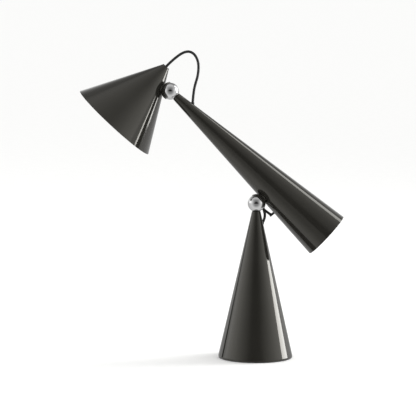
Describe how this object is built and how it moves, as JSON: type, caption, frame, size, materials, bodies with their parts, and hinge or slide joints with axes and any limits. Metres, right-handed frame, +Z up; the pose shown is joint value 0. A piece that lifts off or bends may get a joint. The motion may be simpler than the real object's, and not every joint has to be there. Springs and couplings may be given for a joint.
{
  "type": "architect desk lamp",
  "caption": "Table lamp of lacquered metal cones: a standing base, a long counterweighted arm and a wide shade, held together by magnetic ball joints.",
  "frame": {"origin": "middle of the foot pad's underside, on the base's axis", "axes": "+Z up along the base's axis, the shade toward -X, the arm's wide end toward +X, the viewer of the joints on the -Y side"},
  "size_m": [0.5348, 0.2083, 0.6196],
  "materials": {
    "lacquer_steel": "gloss",
    "lacquer_aluminium": "gloss",
    "chrome_plate": "polished",
    "zinc_steel": "satin",
    "ballast_iron": "matte",
    "pad_rubber": "matte",
    "cable_rubber": "satin",
    "black_plastic": "satin",
    "liner_plastic": "satin",
    "magnet_nickel": "satin",
    "bare_aluminium": "satin",
    "board_white": "satin",
    "opal_acrylic": "satin"
  },
  "bodies": {
    "base": {"foot_pad": "pad_rubber", "base_plate": "zinc_steel", "base_weight": "ballast_iron", "base_cone": "lacquer_steel", "base_tip": "lacquer_steel", "base_screws": "zinc_steel", "base_gland": "black_plastic", "mains_grommet": "pad_rubber", "terminal_block": "black_plastic", "terminal_screw": "zinc_steel", "lower_friction_washer": "liner_plastic"},
    "lower_ball_body": {"lower_ball": "chrome_plate", "lower_stud": "zinc_steel", "lower_spring_washer": "zinc_steel", "lower_lock_nut": "zinc_steel", "lower_link_cable": "cable_rubber"},
    "arm": {"arm_cone": "lacquer_aluminium", "arm_tip": "lacquer_steel", "arm_end_cap": "lacquer_steel", "arm_counterweight": "ballast_iron", "counterweight_bolt": "zinc_steel", "lower_cup": "lacquer_steel", "lower_seat_liner": "liner_plastic", "lower_magnet": "magnet_nickel", "lower_saddle_washer": "zinc_steel", "lower_cup_nut": "zinc_steel", "arm_lower_gland": "black_plastic", "arm_upper_gland": "black_plastic", "upper_friction_washer": "liner_plastic"},
    "upper_ball_body": {"upper_ball": "chrome_plate", "upper_stud": "zinc_steel", "upper_spring_washer": "zinc_steel", "upper_lock_nut": "zinc_steel", "upper_link_cable": "cable_rubber"},
    "shade": {"shade_cone": "lacquer_aluminium", "apex_plug": "lacquer_steel", "upper_cup": "lacquer_steel", "upper_seat_liner": "liner_plastic", "upper_magnet": "magnet_nickel", "upper_saddle_washer": "zinc_steel", "upper_cup_nut": "zinc_steel", "lamp_ring": "bare_aluminium", "lamp_plate": "bare_aluminium", "lamp_plate_screws": "zinc_steel", "heatsink": "bare_aluminium", "led_board": "board_white", "diffuser_ledge": "bare_aluminium", "diffuser": "opal_acrylic", "diffuser_ring": "bare_aluminium"}
  },
  "joints": [
    {"name": "base_swivel", "type": "hinge", "parent": "base", "child": "lower_ball_body", "pos_m": [0, 0, 0.3138], "axis": [0, 0, 1], "range_deg": [-90, 90], "deforming": ["lower_link_cable"]},
    {"name": "arm_tilt", "type": "hinge", "parent": "lower_ball_body", "child": "arm", "pos_m": [0, 0, 0.3138], "axis": [0, 1, 0], "range_deg": [-25, 20]},
    {"name": "shade_swivel", "type": "hinge", "parent": "arm", "child": "upper_ball_body", "pos_m": [-0.17453, 0.02188, 0.53759], "axis": [0.7385, 0, -0.6743], "range_deg": [-90, 90], "deforming": ["upper_link_cable"]},
    {"name": "shade_tilt", "type": "hinge", "parent": "upper_ball_body", "child": "shade", "pos_m": [-0.17453, 0.02188, 0.53759], "axis": [0, 1, 0], "range_deg": [-35, 35]}
  ]
}
